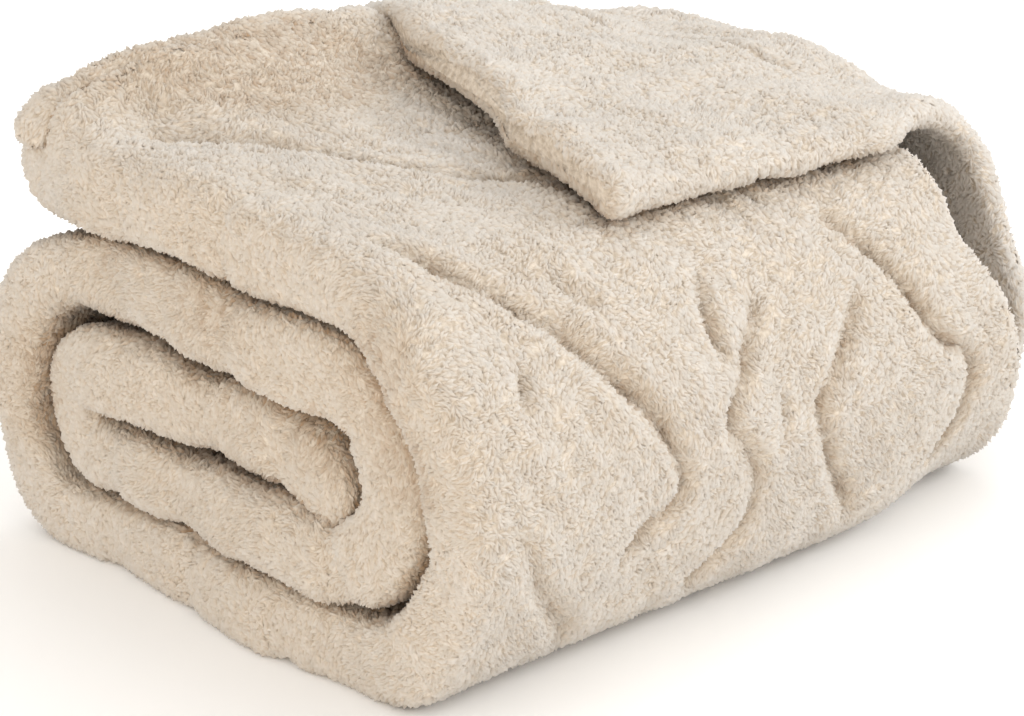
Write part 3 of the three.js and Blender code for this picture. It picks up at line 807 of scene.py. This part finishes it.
stripRings, stripFurry, path, creased = woundStrip()
parts = [slump(taper(rings)) for rings in (stripRings, rimRoll(), plySheet(path))]
furry = [stripFurry, *(np.ones(rings.shape[:2], bool) for rings in parts[1:])]
furryPoint = np.concatenate([mask.ravel() for mask in furry])
points, quads, ends, offset = [], [], [], 0
for rings in parts:
    partPoints, partQuads, partEnds = skin(rings, offset)
    points.append(partPoints)
    quads.append(partQuads)
    ends += partEnds
    offset += len(partPoints)
clothPoints, clothQuads = np.concatenate(points), np.concatenate(quads)
corners = np.concatenate([clothQuads.ravel(), *ends])
sizes = np.concatenate([np.full(len(clothQuads), 4), [len(end) for end in ends]])
starts = np.concatenate([[0], np.cumsum(sizes)[:-1]])
cloth = meshObject("blanketCloth", clothPoints, corners, starts, ground)
print("cloth", len(clothQuads) * 2, "triangles, wound length", round(float(np.ptp(path["length"]))))

# The pile: small curls rooted in the cloth

curls = {
    "length": 4.7,
    "width": 1.3,
    "height": 1.6,
    "sizes": (0.7, 1.3),  # shares of its length and width, drawn for each curl
    "heights": (0.6, 1.4),  # shares of its height
    "sink": 0.25,
    "bend": 0.9,  # how far a curl's ends swing to the side, at the most
    "round": 1.0,  # how far the normals lean away from the cloth's own
    "flowLength": 58,
    "flowSeed": 31,
    "flowDown": 0.5,
    "swirlLength": 11,
    "swirlSeed": 41,
    "swirl": 0.55,
    "stray": 0.3,
    "clumpLength": 5.5,
    "clumpSeed": 61,
    "roomFrom": 0.6,  # the room over a curl is looked for from here
    "roomReach": 12,
    "clear": 1.2,  # no curl where another layer lies nearer than this
    "fullRoom": 4,  # where another layer is nearer than this the curls are smaller
    "smallest": 0.4,
    "overFloor": 0.5,  # the cloth that lies lower than this on the floor carries no pile
    "lowest": 0.3,  # how near the floor a curl comes
    "mapWidth": 0.001,  # how far apart a face's corners lie across the map
    "spare": 1.5,  # places drawn for each curl
    "seed": 100,  # of the first piece, one more for each next piece
    "perPiece": {
        "pileNearEnd": 45000,
        "pileFront": 46000,
        "pileTopLeft": 34000,
        "pileTopRight": 34000,
        "pileBack": 28000,
        "pileFarEnd": 18000,
    },
}
# Places of a curl's corners: along its lay in lengths, across in half widths, up in heights. The
# crest joins the others, which go round the foot of the curl.
curlShape = [
    {"name": "root", "along": -0.5, "across": 0.0, "up": 0.0},
    {"name": "right", "along": 0.12, "across": -1.0, "up": 0.0},
    {"name": "tip", "along": 0.5, "across": 0.0, "up": 0.3},
    {"name": "left", "along": 0.12, "across": 1.0, "up": 0.0},
    {"name": "crest", "along": 0.14, "across": 0.0, "up": 1.0},
]
curlFaces = np.array([[0, 1, 4], [1, 2, 4], [2, 3, 4], [3, 0, 4]])
# The rays that measure how open a place lies, which sets the painted shade of its curls.
shade = {"rays": 16, "from": 0.8, "reach": 60, "near": 12, "nearShare": 0.4, "spread": 0.95, "seed": 7}
# A curl's tone, from 0 for the deep colour to 1 for the light one: (shut + open * openness^power) * (1 -
# painted darkening of the patches), and a little up or down by soft clumps and for each curl. Places less
# open, in gaps and hollows, get a darker tone, which is painted shade.
tones = {"shut": 0.1, "open": 0.74, "power": 1.6, "clump": 0.06, "uneven": 0.12, "darkestPainted": 0.48}
# Soft patches of painted shade, where the pile is coloured darker as if in shadow, and of painted light
# where the share is below 0 and the pile is paler: the painted darkening is the sum of share *
# exp(-(distance / reach)^2), and no more than the tones' limit for it.
paintedShadeAndLight = [
    {"name": "near end of the roll", "at": (-200, -10, 75), "reach": 110, "share": 0.34},
    {"name": "hollow under the rim", "at": (-78, 70, 171), "reach": 28, "share": 0.6},
    {"name": "hollow by the hem", "at": (-44, 66, 166), "reach": 26, "share": 0.75},
    {"name": "rim, near half", "at": (-138, 90, 175), "reach": 20, "share": 0.4},
    {"name": "rim, middle", "at": (-100, 88, 183), "reach": 22, "share": 0.5},
    {"name": "under the hem, back", "at": (-36, 34, 155), "reach": 17, "share": -0.3},
    {"name": "under the hem, middle", "at": (-42, 0, 151), "reach": 17, "share": -0.3},
    {"name": "second turn, hump", "at": (-162, 62, 126), "reach": 20, "share": 0.3},
    {"name": "second turn, crown", "at": (-162, 0, 124), "reach": 22, "share": 0.25},
    {"name": "second turn, front above", "at": (-162, -88, 126), "reach": 17, "share": 0.75},
    {"name": "second turn, front", "at": (-162, -101, 94), "reach": 18, "share": 0.8},
    {"name": "above the core's end", "at": (-158, -50, 90), "reach": 13, "share": 0.45},
    {"name": "left of the core", "at": (-160, 98, 76), "reach": 18, "share": 0.45},
    {"name": "low left of the core", "at": (-160, 106, 48), "reach": 15, "share": 0.35},
    {"name": "pocket at the far end", "at": (158, -58, 92), "reach": 34, "share": -1.1},
]
looking = {"end": 0.55, "up": 0.6}  # parts of a normal from which it looks to an end or up
topSplit = -10  # x where the top's pile is parted in two pieces


# Which side of the roll a normal looks to, as a mask for each piece of pile.
def regionMasks(place, normal):
    x, y, z = normal.T
    nearEnd = x < -looking["end"]
    farEnd = x > looking["end"]
    side = ~nearEnd & ~farEnd
    top = side & (z > looking["up"])
    low = side & (z <= looking["up"])
    return {
        "pileNearEnd": nearEnd,
        "pileFarEnd": farEnd,
        "pileTopLeft": top & (place[:, 0] < topSplit),
        "pileTopRight": top & (place[:, 0] >= topSplit),
        "pileFront": low & (y <= 0),
        "pileBack": low & (y > 0),
    }


# The normal at each point, the unit sum of its triangles' cross products, and these products.
def vertexNormals(points, triangles):
    first, second, third = (points[triangles[:, k]] for k in range(3))
    products = np.cross(second - first, third - first)
    normals = np.zeros_like(points)
    for k in range(3):
        np.add.at(normals, triangles[:, k], products)
    return unit(normals), products


# How far each ray goes before it meets the cloth, at most its reach.
def freeWay(starts, ways, reach):
    rays = zip(starts.tolist(), ways.tolist())
    hits = [tree.ray_cast(Vector(start), Vector(way), reach)[3] for start, way in rays]
    return np.array([reach if hit is None else hit for hit in hits])


# How open each point lies, from 0 in a gap to 1: the mean over some rays about its normal of the
# way they go before they meet the cloth, as a share of reach, mixed with its share of near.
def openness(points, normals, rng):
    total = np.zeros(len(points))
    for _ in range(shade["rays"]):
        way = unit(normals + shade["spread"] * unit(rng.normal(size=points.shape)))
        free = freeWay(points + shade["from"] * normals, way, shade["reach"])
        total += mixed(free / shade["reach"], np.minimum(free / shade["near"], 1), shade["nearShare"])
    return total / shade["rays"]


# A curl is a low mound of four faces: root + lay * length * along + side * (half width * across
# + bend * (2 along)^2) + normal * (height * up - sink) for each corner of curlShape. lay is the
# flow of the pile over the cloth with a swirl, a pull downwards and a stray of its own. The normals
# lean from the cloth's own towards each corner, so that a curl shades as a soft round tuft.
def curlMesh(name, root, normal, room, openHere, rng):
    count = len(root)
    flow = [lumps(root, curls["flowLength"], curls["flowSeed"] + k) for k in range(3)]
    swirl = [lumps(root, curls["swirlLength"], curls["swirlSeed"] + k) for k in range(3)]
    drift = np.stack(flow, -1) + curls["swirl"] * np.stack(swirl, -1) + [0, 0, -curls["flowDown"]]
    drift = unit(drift) + curls["stray"] * rng.normal(size=(count, 3))
    lay = unit(drift - normal * (drift * normal).sum(1, keepdims=True))
    side = np.cross(normal, lay)
    fits = np.clip(room / curls["fullRoom"], curls["smallest"], 1)
    size = (rng.uniform(*curls["sizes"], count) * fits)[:, None]
    tall = (curls["height"] * rng.uniform(*curls["heights"], count) * fits)[:, None]
    bend = curls["bend"] * rng.uniform(-1, 1, count)[:, None]
    points, shading = [], []
    for corner in curlShape:
        across = side * (curls["width"] / 2 * size * corner["across"] + bend * (2 * corner["along"]) ** 2)
        along = lay * (curls["length"] * size * corner["along"])
        points.append(root + along + across + normal * (tall * corner["up"] - curls["sink"]))
        lean = lay * np.sign(corner["along"]) + side * corner["across"]
        shading.append(unit(normal + (corner["name"] != "crest") * curls["round"] * unit(lean)))
    points, shading = np.stack(points, 1), np.stack(shading, 1)
    points[..., 2] = np.maximum(points[..., 2], curls["lowest"])
    corners = (len(curlShape) * np.arange(count)[:, None] + curlFaces.ravel()).ravel()
    item = meshObject(name, points.reshape(-1, 3), corners, 3 * np.arange(len(curlFaces) * count), pile)
    item.data.normals_split_custom_set_from_vertices(shading.reshape(-1, 3))
    clump = lumps(root, curls["clumpLength"], curls["clumpSeed"])
    # Painted shade and painted light: the patches darken or pale each curl's tone.
    paintedShading = 0
    for patch in paintedShadeAndLight:
        away = np.linalg.norm(root - patch["at"], axis=1) / patch["reach"]
        paintedShading = paintedShading + patch["share"] * np.exp(-(away**2))
    paintedShading = np.minimum(paintedShading, tones["darkestPainted"])
    tone = (tones["shut"] + tones["open"] * openHere ** tones["power"]) * (1 - paintedShading)
    own = rng.uniform(-tones["uneven"], tones["uneven"], count)
    tone = np.clip(tone + tones["clump"] * clump + own, 0.01, 0.99)[:, None]
    off = np.tile([-1, 1, 0], len(curlFaces)) * curls["mapWidth"]
    up = np.clip(np.array([corner["up"] for corner in curlShape])[curlFaces.ravel()], 0.01, 0.99)
    layer = item.data.uv_layers.new(name="OFBake")
    layer.data.foreach_set("uv", np.stack([tone + off, up + 0 * tone], -1).ravel().astype(np.float32))
    return item


# The values at points of the picked triangles: first + u * (second - first) + v * (third - first).
def within(values, picked, u, v):
    first, second, third = (values[triangles[picked, k]] for k in range(3))
    return first + u * (second - first) + v * (third - first)


# Grows one piece of pile. Places are drawn over the cloth by area, and those that have another
# layer close above them are left out.
def growPile(number, name, count):
    rng = np.random.default_rng(curls["seed"] + number)
    weight = area * masks[name]
    picked = rng.choice(len(weight), int(count * curls["spare"]), p=weight / weight.sum())
    u, v = rng.random((2, len(picked), 1))
    u, v = np.where(u + v > 1, 1 - u, u), np.where(u + v > 1, 1 - v, v)
    root, normal = within(clothPoints, picked, u, v), unit(within(normals, picked, u, v))
    room = freeWay(root + curls["roomFrom"] * normal, normal, curls["roomReach"])
    keep = np.flatnonzero(room > curls["clear"])[:count]
    openHere = within(openAt[:, None], picked, u, v)[:, 0]
    print(name, len(keep), "curls,", round(weight.sum() / 100), "cm2")
    return curlMesh(name, root[keep], normal[keep], room[keep], openHere[keep], rng)


triangles = np.concatenate([clothQuads[:, [0, 1, 2]], clothQuads[:, [0, 2, 3]]])
normals, products = vertexNormals(clothPoints, triangles)
tree = BVHTree.FromPolygons(clothPoints.tolist(), clothQuads.tolist())
used = np.flatnonzero(furryPoint)
# Painted shade: how open each place lies sets how dark its curls are coloured.
openAt = np.ones(len(clothPoints))
openAt[used] = openness(clothPoints[used], normals[used], np.random.default_rng(shade["seed"]))
# Painted shade in creases: the deeper a point lies in a crease, the less open it counts, so its curls are
# coloured darker.
openAt[: creased.size] *= 1 - creasing["creaseShade"] * creased.ravel()
print("openness of", len(used), "points from", openAt[used].min().round(2))
area = np.linalg.norm(products, axis=1) / 2 * furryPoint[triangles].all(1)
area *= clothPoints[triangles][..., 2].max(1) > curls["overFloor"]
masks = regionMasks(clothPoints[triangles[:, 0]], unit(products))
pilePieces = [growPile(number, *piece) for number, piece in enumerate(curls["perPiece"].items())]

# Floor, light and camera

stage = {
    "floorSize": 12.0,
    "floorColour": (0.98, 0.98, 0.98, 1),
    "world": 1.1,
    "worldColour": (1, 0.98, 0.95, 1),
    "lampsAim": (0, 0, 0.08),
}
lamps = [
    {"name": "keyLight", "place": (2.4, -1.9, 1.7), "size": 1.6, "watts": 44, "colour": (0.95, 0.98, 1)},
    {"name": "topLight", "place": (0.9, 0.4, 2.8), "size": 1.8, "watts": 8, "colour": (0.95, 0.98, 1)},
    {"name": "fillLight", "place": (-2.3, -1.25, 0.45), "size": 1.2, "watts": 16, "colour": (1, 0.86, 0.68)},
]
view = {
    "azimuth": -43.1,
    "elevation": 22.3,
    "distance": 1535.5,
    "target": (-58.7, -41.2, 87.1),
    "focal": 4319,  # in pixels of the photo
    "photoWidth": 1024,
    "sensor": 36,
}


# A plain matt material for the floor.
def flatMaterial(name, colour):
    material = bpy.data.materials.new(name)
    material.use_nodes = True
    shader = material.node_tree.nodes["Principled BSDF"]
    shader.inputs["Base Color"].default_value = colour
    shader.inputs["Roughness"].default_value = 0.9
    shader.inputs["Specular IOR Level"].default_value = 0.1
    return material


def makeFloor():
    half = stage["floorSize"] / 2
    square = np.array([[-half, -half, 0], [half, -half, 0], [half, half, 0], [-half, half, 0]])
    pale = flatMaterial("paleFloor", stage["floorColour"])
    item = meshObject("floor", square / mm - shift, np.arange(4), np.array([0]), pale)
    return item


def makeLamps():
    for lamp in lamps:
        data = bpy.data.lights.new(lamp["name"], "AREA")
        data.shape, data.size, data.energy, data.color = "DISK", lamp["size"], lamp["watts"], lamp["colour"]
        item = bpy.data.objects.new(lamp["name"], data)
        item.location = lamp["place"]
        way = Vector(stage["lampsAim"]) - item.location
        item.rotation_euler = way.to_track_quat("-Z", "Y").to_euler()
        bpy.context.scene.collection.objects.link(item)
    world = bpy.data.worlds.new("studio")
    world.use_nodes = True
    world.node_tree.nodes["Background"].inputs["Color"].default_value = stage["worldColour"]
    world.node_tree.nodes["Background"].inputs["Strength"].default_value = stage["world"]
    bpy.context.scene.world = world


def makeCamera():
    azimuth, elevation = math.radians(view["azimuth"]), math.radians(view["elevation"])
    away = Vector((
        math.sin(azimuth) * math.cos(elevation),
        -math.cos(azimuth) * math.cos(elevation),
        math.sin(elevation),
    ))
    target = (Vector(view["target"]) + Vector(shift)) * mm
    data = bpy.data.cameras.new("studioCamera")
    data.sensor_width = view["sensor"]
    data.lens = view["focal"] / view["photoWidth"] * data.sensor_width
    item = bpy.data.objects.new("studioCamera", data)
    item.location = target + away * view["distance"] * mm
    item.rotation_euler = (-away).to_track_quat("-Z", "Y").to_euler()
    bpy.context.scene.collection.objects.link(item)
    bpy.context.scene.camera = item


floor = makeFloor()
makeLamps()
makeCamera()
bpy.context.scene.view_settings.view_transform = "Standard"

for item in [cloth, *pilePieces]:
    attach(item, "root")
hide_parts("blanket")
